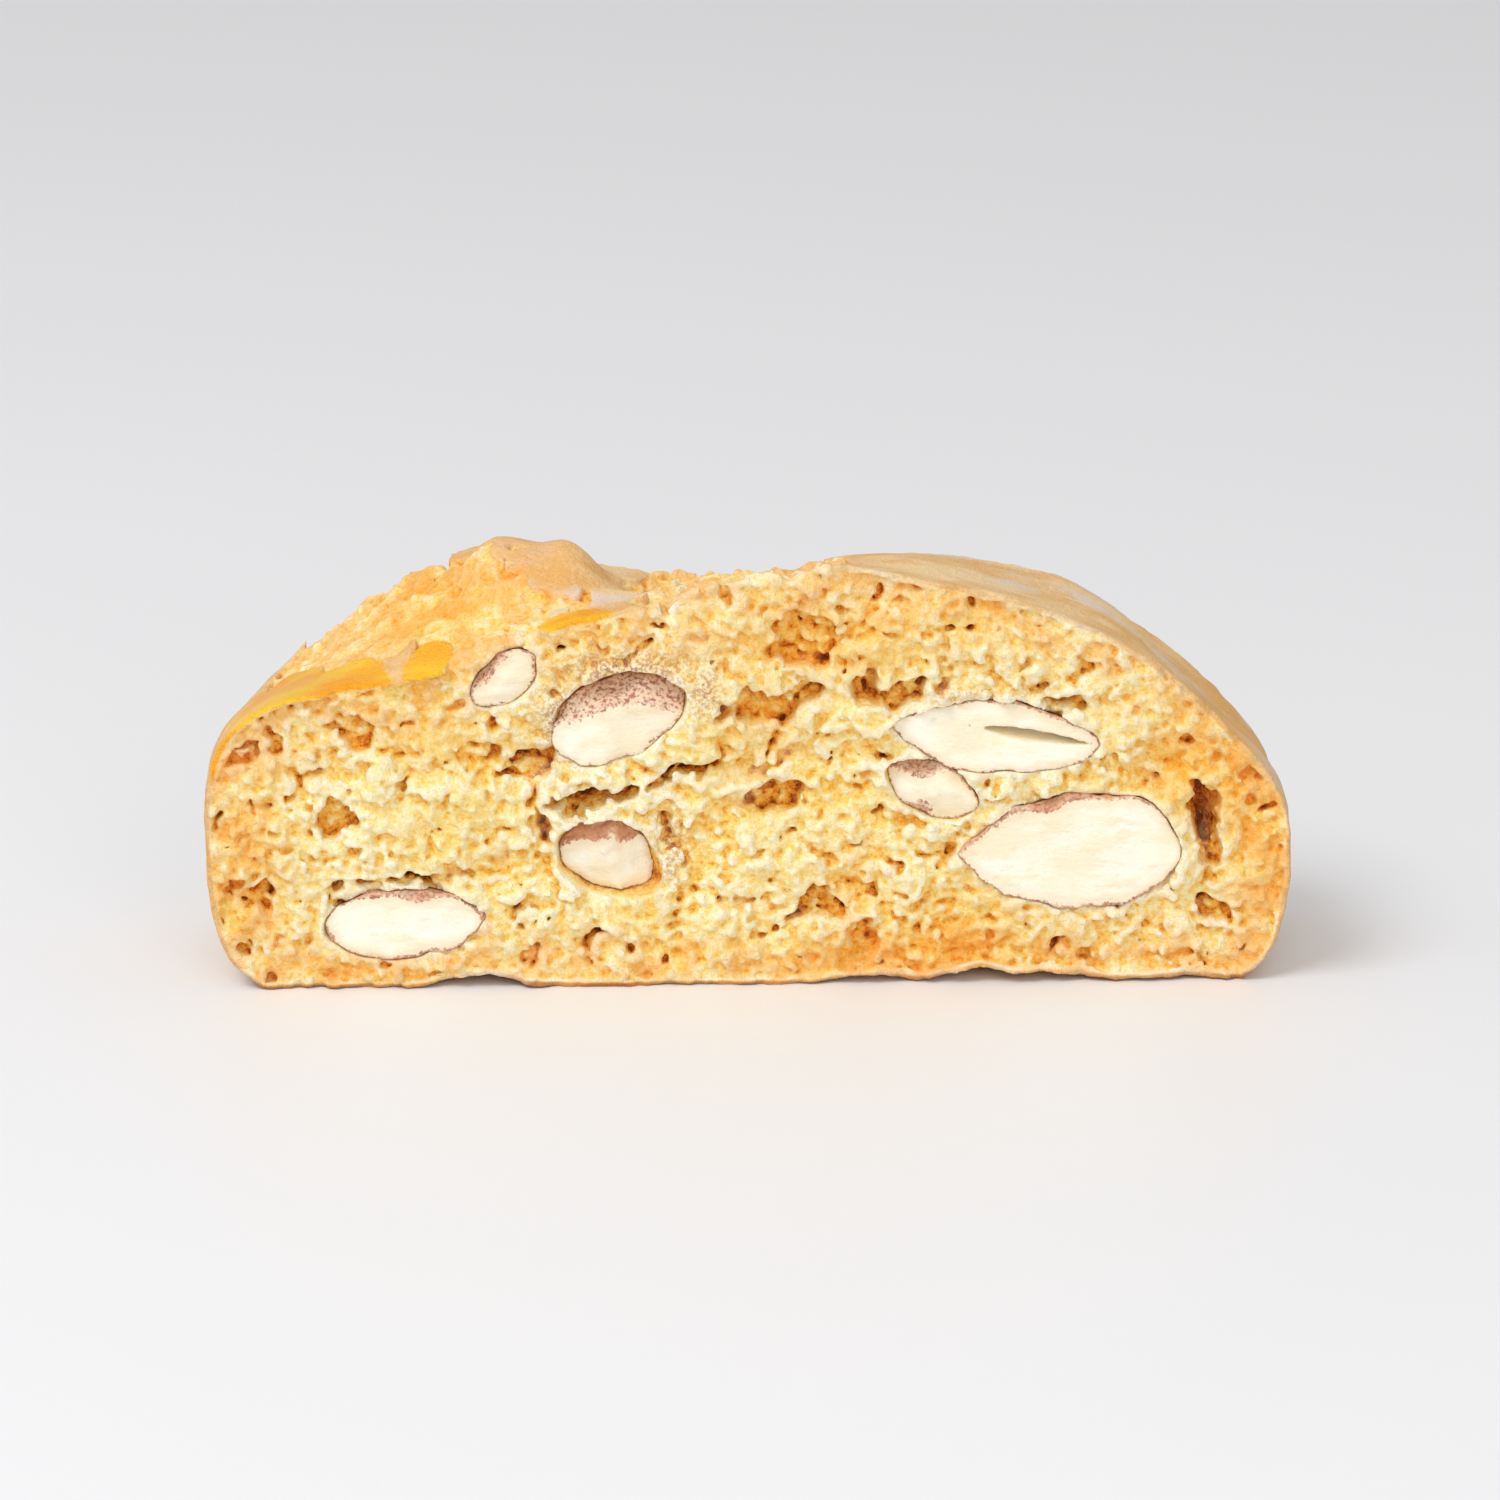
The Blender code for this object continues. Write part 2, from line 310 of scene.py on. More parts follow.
# ---------------------------------------------------------------- grids and noise


class Grid:
    """A box of evenly spaced points; arrays on it are indexed x, y, z."""

    def __init__(self, low, high, step):
        self.low = np.asarray(low, np.float64)
        self.step = step
        counts = np.ceil((np.asarray(high) - self.low) / step).astype(int) + 1
        self.axes = [self.low[i] + step * np.arange(counts[i]) for i in range(3)]

    def points(self):
        """x, y and z as arrays that broadcast against each other."""
        x, y, z = (axis.astype(np.float32) for axis in self.axes)
        return x[:, None, None], y[None, :, None], z[None, None, :]

    def read(self, field, places):
        """The field's value at each place, between the grid's points."""
        at = (places - self.low) / self.step
        below = np.clip(at.astype(int), 0, np.array(field.shape) - 2)
        share = (at - below).astype(np.float32)
        total = np.zeros(len(places), np.float32)
        for corner in np.ndindex(2, 2, 2):
            weight = np.ones(len(places), np.float32)
            for i in range(3):
                weight *= share[:, i] if corner[i] else 1 - share[:, i]
            total += weight * field[tuple((below + corner).T)]
        return total


def spread(values, matrices):
    """Applies one matrix along each axis of the values."""
    for axis, matrix in enumerate(matrices):
        values = np.moveaxis(np.tensordot(matrix, values, (1, axis)), 0, axis)
    return np.ascontiguousarray(values)


def straight_weights(source, target):
    """The matrix that reads evenly spaced source values at the target places."""
    place = (target - source[0]) / (source[1] - source[0])
    below = np.clip(place.astype(int), 0, len(source) - 2)
    share = np.clip(place - below, 0, 1)
    matrix = np.zeros((len(target), len(source)), np.float32)
    rows = np.arange(len(target))
    matrix[rows, below] = 1 - share
    matrix[rows, below + 1] = share
    return matrix


def spline_parts(t):
    """The shares of four values in a row in a cubic B-spline, from t = 0 to 1."""
    return ((1 - t) ** 3 / 6, (3 * t**3 - 6 * t**2 + 4) / 6, (-3 * t**3 + 3 * t**2 + 3 * t + 1) / 6, t**3 / 6)


def spline_weights(count, place):
    """The matrix of cubic B-splines through a row of values, one unit apart, at these places."""
    below = place.astype(int)
    matrix = np.zeros((len(place), count), np.float32)
    rows = np.arange(len(place))
    for i, part in enumerate(spline_parts(place - below)):
        matrix[rows, below + i] = part
    return matrix


def noise(grid, size, seed, stretch=(1, 1, 1)):
    """Smooth random hills about this far apart, with a mean of 0 and a spread of 1."""
    rng = np.random.default_rng(seed)
    matrices = []
    counts = []
    for axis, factor in zip(grid.axes, stretch):
        place = (axis - axis[0]) / (size * factor)
        counts.append(int(place[-1]) + 4)
        matrices.append(spline_weights(counts[-1], place))
    values = rng.standard_normal(counts).astype(np.float32)
    hills = spread(values, matrices)
    return hills / hills.std()


def waves(u, v, size, seed, turn=0.0, stretch=1.0):
    """Smooth random heights about this far apart over a plane, with a mean of 0 and a spread of 1.

    They run longer along a direction that is turned by so many degrees from u.
    """
    side = 128
    table = np.random.default_rng(seed).standard_normal((side, side)).astype(np.float32)
    turn = math.radians(turn)
    along = (u * math.cos(turn) + v * math.sin(turn)) / (size * stretch) + side / 2
    across = (v * math.cos(turn) - u * math.sin(turn)) / size + side / 2
    i, j = np.floor(along).astype(int), np.floor(across).astype(int)
    total = 0
    for k, first in enumerate(spline_parts(along - i)):
        for m, second in enumerate(spline_parts(across - j)):
            total = total + first * second * table[(i + k) % side, (j + m) % side]
    return (total / SPLINE_SPREAD**2).astype(np.float32)


def step_up(values, start, end):
    """0 below start, 1 above end, smooth between."""
    share = np.clip((values - start) / (end - start), 0, 1)
    return share * share * (3 - 2 * share)


def bell(distance, reach):
    return np.exp(-((distance / reach) ** 2))


# ---------------------------------------------------------------- the plain loaf


def through(points, steps):
    """A Catmull-Rom curve through the points, along their first axis."""
    ends = np.concatenate([2 * points[:1] - points[1:2], points, 2 * points[-1:] - points[-2:-1]])
    before, start, end, after = ends[:-3], ends[1:-2], ends[2:-1], ends[3:]
    curve = []
    for step in range(steps):
        t = step / steps
        curve.append(
            0.5
            * (
                2 * start
                + (end - before) * t
                + (2 * before - 5 * start + 4 * end - after) * t**2
                + (3 * start - before - 3 * end + after) * t**3
            )
        )
    joined = np.stack(curve, 1).reshape(-1, *points.shape[1:])
    return np.concatenate([joined, points[-1:]])


def crust_swell(x, y, z):
    """How far the crust stands out of the plain loaf, as in part.py."""
    metres = (x * MM, y * MM, z * MM)
    wave = np.sin(410 * metres[0] + 260 * metres[1] + 1.3)
    wave = wave + np.sin(230 * metres[2] - 350 * metres[1] + 170 * metres[0])
    mounds = sum(m.height * bell(x - m.x, m.half_x) * bell(y - m.y, m.half_y) for m in MOUNDS)
    return CRUST_RELIEF * 0.5 * wave + mounds * np.clip(z / 30, 0, 1) ** 4


def sections(ys, thickness):
    """The loaf's closed outline at each depth, as an array of points x, z by depth."""
    table = np.array(LOAF)
    back = ys / thickness + 0.5
    heights = table[:, 1:2] + (table[:, 2:3] - table[:, 1:2]) * back
    corners = np.stack([np.repeat(table[:, :1], len(ys), 1), heights], -1)
    arc = through(corners, SPAN_STEPS)
    along = np.gradient(arc, axis=0)
    out = np.stack([-along[..., 1], along[..., 0]], -1)
    out /= np.linalg.norm(out, axis=-1, keepdims=True)
    foot = np.clip(arc[..., 1] / 6, 0, 1)
    arc = arc + out * (crust_swell(arc[..., 0], ys, arc[..., 1]) * foot)[..., None]
    arc[..., 0] += np.copysign(FOOT_BULGE * (1 - (2 * ys / thickness) ** 2) * (1 - foot), arc[..., 0])
    x = np.linspace(arc[-1, :, 0], arc[0, :, 0], BASE_STEPS + 1)[1:-1]
    lift = sum(a.height * bell(x - a.x, a.half_width) for a in ARCHES)
    lift = lift * bell(ys + thickness / 2, ARCH_FADE)
    return np.concatenate([arc, np.stack([x, lift], -1)])


def loaf_depth(grid, thickness):
    """How deep each point lies under the baked surface, as if the loaf went on past the cuts."""
    high = [axis[-1] for axis in grid.axes]
    coarse = Grid(grid.low, high, COARSE)
    x, _, z = coarse.points()
    ring = sections(coarse.axes[1], thickness).astype(np.float32)
    best = np.full([len(axis) for axis in coarse.axes], 1e6, np.float32)
    inside = np.zeros(best.shape, bool)
    for a, b in zip(ring, np.roll(ring, -1, 0)):
        ax, az = a[None, :, :1], a[None, :, 1:]
        ex, ez = b[None, :, :1] - ax, b[None, :, 1:] - az
        t = np.clip(((x - ax) * ex + (z - az) * ez) / (ex * ex + ez * ez), 0, 1)
        np.minimum(best, (x - ax - t * ex) ** 2 + (z - az - t * ez) ** 2, out=best)
        flat = np.where(np.abs(ez) < 1e-9, 1e-9, ez)
        inside ^= ((az > z) != (az + ez > z)) & (x < ax + (z - az) * ex / flat)
    distance = np.where(inside, 1, -1) * np.sqrt(best)
    matrices = [straight_weights(c, f) for c, f in zip(coarse.axes, grid.axes)]
    return spread(distance.astype(np.float32), matrices)


# ---------------------------------------------------------------- kernels and pits


def turned(tilt, lean, x, y, z):
    """Coordinates along a kernel or a pit that is tilted in the cut and leans into the dough."""
    tilt, lean = math.radians(tilt), math.radians(lean)
    along = x * math.cos(tilt) + z * math.sin(tilt)
    up = z * math.cos(tilt) - x * math.sin(tilt)
    return along * math.cos(lean) + y * math.sin(lean), y * math.cos(lean) - along * math.sin(lean), up


def kernel_depth(kernel, side, cut, x, y, z):
    """About how deep points lie under a whole kernel's skin."""
    half = (kernel.length / 2, kernel.reach, kernel.height / 2)
    u, across, up = turned(kernel.tilt, -side * kernel.lean, x - kernel.x, y - side * cut, z - kernel.z)
    u = u / half[0]
    inside = np.clip(1 - u * u, 0, 1)
    girth = inside ** (0.5 + KERNEL_POINT * np.clip(u, 0, 1))
    round_ = np.sqrt((across / half[1]) ** 2 + (up / half[2]) ** 2)
    beyond = np.clip(np.abs(u) - 1, 0, None) * half[0]
    seed = 500 + int(10 * abs(kernel.x))
    bumps = 0.2 * waves(x, z, 2.8, seed) + 0.1 * waves(x, z, 1.0, seed + 1)
    return (girth - round_) * min(half[1], half[2]) - beyond + bumps


# ---------------------------------------------------------------- the broken surfaces


def pit_loss(pits, x, z):
    """How deep the pits go behind the cut plane at x, z."""
    loss = 0
    for pit in pits:
        tilt = math.radians(pit.tilt)
        u = (x - pit.x) * math.cos(tilt) + (z - pit.z) * math.sin(tilt)
        v = (z - pit.z) * math.cos(tilt) - (x - pit.x) * math.sin(tilt)
        inside = 1 - (2 * u / pit.length) ** 2 - (2 * v / pit.height) ** 2
        loss = np.maximum(loss, PIT_DEEPER * pit.depth * np.sqrt(np.clip(inside, 0, 1)))
    return loss


def cut_loss(x, z, side, depth):
    """How far behind the cut plane the broken crumb lies, where the baked surface is this near.

    The open middle has deep creases and holes that rise to the right. The rim is tight.
    """
    seed, kernels, pits = (100, FRONT_KERNELS, FRONT_PITS) if side < 0 else (200, BACK_KERNELS, BACK_PITS)
    x = x + 0.5 * waves(x, z, 1.7, seed + 8) + 0.2 * waves(x, z, 0.7, seed + 10)
    z = z + 0.5 * waves(x, z, 1.7, seed + 9) + 0.2 * waves(x, z, 0.7, seed + 11)
    middle = step_up(depth, 1.5, 8.0)
    crease = bell(waves(x, z, 5.0, seed + 1, CREASE_TURN, 1.9), 0.3)
    small = bell(waves(x, z, 2.4, seed + 2, CREASE_TURN, 1.5), 0.35)
    hole = step_up(waves(x, z, 1.8, seed + 3, CREASE_TURN, 1.4), 1.4, 1.8)
    pore = step_up(waves(x, z, 0.8, seed + 4), 1.4, 1.8)
    loss = 0.62 + 0.25 * waves(x, z, 9.0, seed) + (0.15 + 0.6 * middle) * crease
    loss += (0.2 + 0.3 * middle) * small + (0.6 + 1.2 * middle) * hole + (1.0 - 0.7 * middle) * pore
    for k in kernels:
        near = kernel_depth(k, side, THICKNESS / 2, x, side * THICKNESS / 2, z)
        loss *= 1 - 0.5 * bell(near, 1.0)
    return np.maximum(loss, pit_loss(pits, x, z))


def inside_patch(patch, x, y):
    """1 in the middle of a patch of the top seen from above, 0 at its edge and less beyond."""
    return 1 - np.sqrt(((x - patch.x) / patch.half_x) ** 2 + ((y - patch.y) / patch.half_y) ** 2)


def glazed_inside(x, y):
    """How far inside the glazed patches a place seen from above lies, as a share of their size."""
    inside = -1.0
    for patch in GLAZED:
        inside = np.maximum(inside, inside_patch(patch, x, y))
    return inside + 0.13 * waves(x, y, 3.0, 321) + 0.05 * waves(x, y, 0.9, 322)


def bare_inside(x, y):
    """How far, in millimetres, a place seen from above lies inside a broken patch of the crust."""
    inside = -9.0
    for patch in BROKEN:
        inside = np.maximum(inside, inside_patch(patch, x, y) * min(patch.half_x, patch.half_y))
    inside = inside + 0.7 * waves(x, y, 2.4, 301) + 0.3 * waves(x, y, 0.9, 302)
    return np.minimum(inside, -9.0 * glazed_inside(x, y) - 0.3)


def top_loss(x, y):
    """How far below the baked surface the crumb of a broken patch lies."""
    loss = 0
    for patch in BROKEN:
        loss = np.maximum(loss, patch.depth * step_up(inside_patch(patch, x, y) + 0.15, 0, 0.5))
    rough = 0.55 + 0.45 * waves(x, y, 4.0, 311) + 0.9 * bell(waves(x, y, 2.6, 312), 0.3)
    return loss * np.clip(rough, 0, None) + 0.1


# ---------------------------------------------------------------- the dough's field


def heaps(grid):
    """Rounded lumps with sharp creases between them, in three sizes."""
    total = 0
    for apart, height, seed in HEAPS:
        total = total + height * (np.abs(noise(grid, apart, seed)) - 0.8)
    return 0.7 * np.tanh(total / 0.7)


def add_balls(joined, grid, cells, places, radii, spacing):
    """Adds to a sum that fused() turns into a field balls as far apart as the cells of a scatter."""
    reach = int(radii.max() / grid.step) + 2
    window = np.arange(-reach, reach + 1)
    period = int((2 * reach + 2) * grid.step / spacing) + 2
    turn = (cells % period) @ np.array([period * period, period, 1])
    at = np.round((places - grid.low) / grid.step).astype(int)
    counts = np.array(joined.shape)
    whole = ((at >= reach) & (at < counts - reach)).all(1)
    for k in range(period**3):
        chosen = (turn == k) & whole
        if not chosen.any():
            continue
        index = [at[chosen, i, None] + window for i in range(3)]
        gaps = [grid.low[i] + index[i] * grid.step - places[chosen, i, None] for i in range(3)]
        apart = gaps[0][:, :, None, None] ** 2 + gaps[1][:, None, :, None] ** 2 + gaps[2][:, None, None, :] ** 2
        ball = radii[chosen][:, None, None, None] - np.sqrt(apart.astype(np.float32))
        spot = (index[0][:, :, None, None], index[1][:, None, :, None], index[2][:, None, None, :])
        joined[spot] += np.exp(FUSE * ball)


def fused(joined):
    return np.log(np.maximum(joined, 1e-12)) / FUSE


def scatter(grid, spacing, seed):
    """Places about this far apart all over the grid, with their cells and a draw from 0 to 1."""
    rng = np.random.default_rng(seed)
    span = [axis[-1] - axis[0] for axis in grid.axes]
    counts = [int(s / spacing) for s in span]
    cells = np.stack(np.meshgrid(*[np.arange(c) for c in counts], indexing="ij"), -1).reshape(-1, 3)
    places = grid.low + (cells + 0.5 + 0.85 * (rng.random(cells.shape) - 0.5)) * spacing
    return cells, places, rng.random(len(cells))


def add_granules(field, grid, cut):
    """Grows granules on the torn surface."""
    joined = np.exp(FUSE * np.clip(field, -1.5, 1.5))
    for spacing, least, greatest, share, seed in GRANULES:
        cells, places, draw = scatter(grid, spacing, seed)
        radii = least + (greatest - least) * draw
        radii = np.minimum(radii, cut + PROUD - np.abs(places[:, 1]))
        near = grid.read(field, places)
        kept = (near > -0.3 * radii) & (near < 0.3) & (radii > 0.15) & (draw * 7.1 % 1 < share)
        kept &= (np.abs(places[:, 1]) > cut - 3.5) | (np.abs(places[:, 0] + 1.5) < 10.5)
        add_balls(joined, grid, cells[kept], places[kept], radii[kept].astype(np.float32), spacing)
    return fused(joined)


def dough_field(grid, thickness):
    """The dough, positive inside, with the depth of each point and where the crust is whole."""
    x, y, z = grid.points()
    cut = thickness / 2
    depth = loaf_depth(grid, thickness)
    from_cut = cut - np.abs(y)
    bare = bare_inside(x[:, :, 0], y[:, :, 0])[:, :, None]
    bare = np.where(z > TOP_FROM, bare, -9.0).astype(np.float32)

    # The crumb, down to where it broke at each cut and under the broken patches of the crust.
    lumps = heaps(grid)
    crumb = depth - CRUST_THICK / 2
    for side in (-1, 1):
        half = np.nonzero(grid.axes[1] * side > 0)[0]
        edge = int(np.argmin(np.abs(grid.axes[1] - side * cut)))
        near = depth[:, edge]
        loss = cut_loss(x[:, 0], z[0], side, near)[:, None]
        open_ = (0.45 + 0.55 * step_up(near, 1.5, 7.0))[:, None] * step_up(loss, 3.0, 1.2)
        part = crumb[:, half]
        np.minimum(part, from_cut[:, half] - loss + open_ * lumps[:, half], out=part)
        crumb[:, half] = part
    top = top_loss(x[:, :, 0], y[:, :, 0])[:, :, None]
    relief = 0.2 + 0.35 * step_up(top, 0.4, 1.1)
    np.minimum(crumb, np.where(bare > 0, depth - top + relief * lumps, 9.0), out=crumb)
    crumb = add_granules(crumb, grid, cut)
    crumb += 0.07 * noise(grid, 0.6, 53) + 0.1 * noise(grid, 0.4, 54)

    # The baked layer, broken off in a ragged line at each cut.
    ragged = noise(grid, 1.3, 51) + 0.7 * noise(grid, 0.5, 52)
    crust = CRUST_THICK * np.maximum(0.75 + 0.3 * ragged, 0.65) - depth
    np.minimum(crust, from_cut - 0.22 - 0.16 * ragged, out=crust)
    np.minimum(crust, -bare, out=crust)
    field = np.maximum(crumb, crust)
    skin = depth + 0.035 * noise(grid, 0.9, 31) + 0.07 * noise(grid, 3.1, 32)
    np.minimum(field, skin, out=field)
    np.minimum(field, from_cut + PROUD, out=field)
    return field, depth, bare


def box_slices(grid, centre, reach):
    """The part of the grid within reach of a place."""
    cuts = []
    for axis, c in zip(grid.axes, centre):
        start = max(0, int((c - reach - axis[0]) / grid.step))
        end = min(len(axis), int((c + reach - axis[0]) / grid.step) + 2)
        cuts.append(slice(start, end))
    return tuple(cuts)


def carve_sockets(field, grid, cut):
    """Takes out of the dough the room that the kernels fill."""
    x, y, z = grid.points()
    for side, kernels in ((-1, FRONT_KERNELS), (1, BACK_KERNELS)):
        for k in kernels:
            part = box_slices(grid, (k.x, side * cut, k.z), k.length / 2 + 1)
            room = kernel_depth(k, side, cut - KERNEL_SINK, x[part[0]], y[:, part[1]], z[:, :, part[2]])
            np.minimum(field[part], -room - SOCKET_GAP, out=field[part])


def keep_core(field, grid):
    """Turns crumbs that touch nothing into air."""
    solid = field > 0
    core = np.zeros_like(solid)
    middle = np.abs(grid.axes[1]) < 4.5
    core[:, middle] = solid[:, middle]
    count = core.sum()
    while True:
        grown = core.copy()
        for axis in range(3):
            ahead = [slice(None)] * 3
            behind = [slice(None)] * 3
            ahead[axis] = slice(1, None)
            behind[axis] = slice(None, -1)
            grown[tuple(ahead)] |= core[tuple(behind)]
            grown[tuple(behind)] |= core[tuple(ahead)]
        core = grown & solid
        if core.sum() == count:
            break
        count = core.sum()
    field[solid & ~core] = -0.05


def mesh_of(field, grid, adaptivity):
    """The field's surface as points in millimetres and faces of four, or of three that repeat the last."""
    volume = openvdb.FloatGrid(-1.0)
    volume.copyFromArray(np.ascontiguousarray(field, np.float32))
    points, triangles, quads = volume.convertToPolygons(isovalue=0.0, adaptivity=adaptivity)
    faces = quads[:, ::-1].astype(np.int64)
    if len(triangles):
        faces = np.concatenate([faces, triangles[:, [2, 1, 0, 0]].astype(np.int64)])
    for _ in range(3):
        alike = (faces == np.roll(faces, 1, 1)).any(1) & (faces[:, 2] != faces[:, 3])
        faces[alike] = np.roll(faces[alike], 1, 1)
    a, b, c, d = faces.T
    whole = (a != b) & (b != c) & (a != c) & (a != d) & (b != d)
    return points * grid.step + grid.low, faces[whole]


def blurred(values, reach):
    """The mean of the values in a box this many points each way."""
    for axis in range(3):
        pad = [(0, 0)] * 3
        pad[axis] = (reach + 1, reach)
        total = np.cumsum(np.pad(values, pad, mode="edge"), axis=axis, dtype=np.float32)
        width = 2 * reach + 1
        ahead = [slice(None)] * 3
        behind = [slice(None)] * 3
        ahead[axis] = slice(width, None)
        behind[axis] = slice(None, -width)
        values = (total[tuple(ahead)] - total[tuple(behind)]) / width
    return values


# ---------------------------------------------------------------- the kernels


def across_cut(angle, x, z):
    """Distance along a direction in the cut, turned by so many degrees from +X towards +Z."""
    return x * math.cos(math.radians(angle)) + z * math.sin(math.radians(angle))


def split_room(inward, x, z):
    """How far places lie inside the gap between the two halves of the split kernel."""
    share = (x - SPLIT.start_x) / (SPLIT.end_x - SPLIT.start_x)
    middle = SPLIT.start_z + (SPLIT.end_z - SPLIT.start_z) * share
    inside = np.clip(share, 0, 1)
    half = SPLIT.width / 2 * (4 * inside * (1 - inside)) ** 0.7 * (1.1 - 0.4 * inside)
    jagged = 0.07 * np.sin(11 * x) * np.sin(7.3 * x + 1) * (z > middle)
    groove = 0.1 * step_up(share, -0.9, -0.5)
    return np.maximum((half + jagged) * (1 - inward / SPLIT.depth), groove - inward) - np.abs(z - middle)


def kernel_field(kernel, side, look, grid, seed):
    """A kernel, positive inside, and how deep each point lies under its brown skin."""
    x, y, z = grid.points()
    cut = THICKNESS / 2
    whole = kernel_depth(kernel, side, cut - KERNEL_SINK, x, y, z)
    whole = whole + 0.05 * noise(grid, 0.6, seed)
    inward = cut - KERNEL_SINK - np.abs(y)
    across, up = x - kernel.x, z - kernel.z
    rng = np.random.default_rng(seed)
    face = inward
    for _ in range(look.facets):
        lean_x, lean_z = look.tilt * rng.standard_normal(2)
        near = (rng.uniform(-0.3, 0.3) * kernel.length, rng.uniform(-0.3, 0.3) * kernel.height)
        plane = inward - lean_x * (across - near[0]) - lean_z * (up - near[1])
        face = np.minimum(face, plane + rng.uniform(0.0, 0.12))
    face = face + look.relief * noise(grid, 1.4, seed + 2) + 0.5 * look.relief * noise(grid, 0.5, seed + 3)
    rind = whole
    for edge in look.edges:
        slope = math.radians(edge.slope)
        out = across_cut(edge.angle, across, up) + 0.35 * noise(grid, 1.5, seed + 4)
        bevel = (edge.limit - out) * math.cos(slope) + inward * math.sin(slope)
        rind = np.minimum(rind, bevel)
    field = np.minimum(rind, face)
    if kernel.name == SPLIT.kernel:
        field = np.minimum(field, -split_room(inward, x, z))
    return field, rind


def add_kernels(material):
    """Each cut almond as a piece of its own."""
    for side, kernels, step in ((-1, FRONT_KERNELS, KERNEL_STEP), (1, BACK_KERNELS, BACK_KERNEL_STEP)):
        for i, kernel in enumerate(kernels):
            low, high = (np.array(corner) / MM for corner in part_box(f"almond_{kernel.name}"))
            grid = Grid(low - 0.8, high + 0.8, step)
            look = LOOKS.get(kernel.name, BACK_LOOK)
            field, rind = kernel_field(kernel, side, look, grid, 400 + 10 * i + side)
            points, faces = mesh_of(field, grid, 0.05)
            attributes = {"rind": grid.read(rind, points), "dust": np.full(len(points), look.dust)}
            name = f"kernel_{kernel.name}"
            new_piece(name, points, faces, attributes, material, [f"almond_{kernel.name}"])


# ---------------------------------------------------------------- materials


def shown(red, green, blue):
    """A colour as it looks on screen, from 0 to 255, in the linear values that shaders take."""
    shares = (value / 255 for value in (red, green, blue))
    return (*(s / 12.92 if s < 0.04045 else ((s + 0.055) / 1.055) ** 2.4 for s in shares), 1.0)


class Surface:
    """A material whose nodes are made call by call. Sizes are in millimetres."""

    def __init__(self, name):
        self.material = bpy.data.materials.new(name)
        self.material.use_nodes = True
        self.tree = self.material.node_tree
        self.shader = self.tree.nodes["Principled BSDF"]
        self.place = self.tree.nodes.new("ShaderNodeTexCoord").outputs["Object"]

    def set(self, **values):
        for name, value in values.items():
            self.join(value, self.shader.inputs[name.replace("_", " ")])

    def join(self, value, socket):
        if isinstance(value, bpy.types.NodeSocket):
            self.tree.links.new(value, socket)
        else:
            socket.default_value = value

    def attribute(self, name):
        node = self.tree.nodes.new("ShaderNodeAttribute")
        node.attribute_name = name
        return node.outputs["Fac"]

    def height(self):
        node = self.tree.nodes.new("ShaderNodeSeparateXYZ")
        self.join(self.place, node.inputs["Vector"])
        return node.outputs["Z"]

    def noise(self, size, detail=2.0, rough=0.5, stretch=(1, 1, 1), shift=0.0):
        node = self.tree.nodes.new("ShaderNodeTexNoise")
        mapping = self.tree.nodes.new("ShaderNodeMapping")
        self.join(self.place, mapping.inputs["Vector"])
        mapping.inputs["Location"].default_value = (shift, shift, shift)
        mapping.inputs["Scale"].default_value = tuple(1 / (MM * size * s) for s in stretch)
        self.join(mapping.outputs["Vector"], node.inputs["Vector"])
        node.inputs["Scale"].default_value = 1.0
        node.inputs["Detail"].default_value = detail
        node.inputs["Roughness"].default_value = rough
        return node.outputs["Fac"]

    def maths(self, operation, first, second=0.0):
        node = self.tree.nodes.new("ShaderNodeMath")
        node.operation = operation
        self.join(first, node.inputs[0])
        self.join(second, node.inputs[1])
        return node.outputs["Value"]

    def step(self, value, start, end, low=0.0, high=1.0):
        """From low at start to high at end, smooth between."""
        node = self.tree.nodes.new("ShaderNodeMapRange")
        node.interpolation_type = "SMOOTHSTEP"
        self.join(value, node.inputs["Value"])
        for name, number in (("From Min", start), ("From Max", end), ("To Min", low), ("To Max", high)):
            node.inputs[name].default_value = number
        return node.outputs["Result"]

    def mix(self, share, first, second, kind="MIX"):
        node = self.tree.nodes.new("ShaderNodeMix")
        node.data_type = "RGBA"
        node.blend_type = kind
        self.join(share, node.inputs["Factor"])
        self.join(first, node.inputs[6])
        self.join(second, node.inputs[7])
        return node.outputs[2]

    def ramp(self, value, stops):
        node = self.tree.nodes.new("ShaderNodeValToRGB")
        self.join(value, node.inputs["Fac"])
        spots = node.color_ramp.elements
        while len(spots) < len(stops):
            spots.new(0.5)
        for spot, (place, tint) in zip(spots, stops):
            spot.position = place
            spot.color = tint
        return node.outputs["Color"]

    def bump(self, height, distance, below=None):
        node = self.tree.nodes.new("ShaderNodeBump")
        node.inputs["Distance"].default_value = distance * MM
        self.join(height, node.inputs["Height"])
        if below:
            self.join(below, node.inputs["Normal"])
        return node.outputs["Normal"]


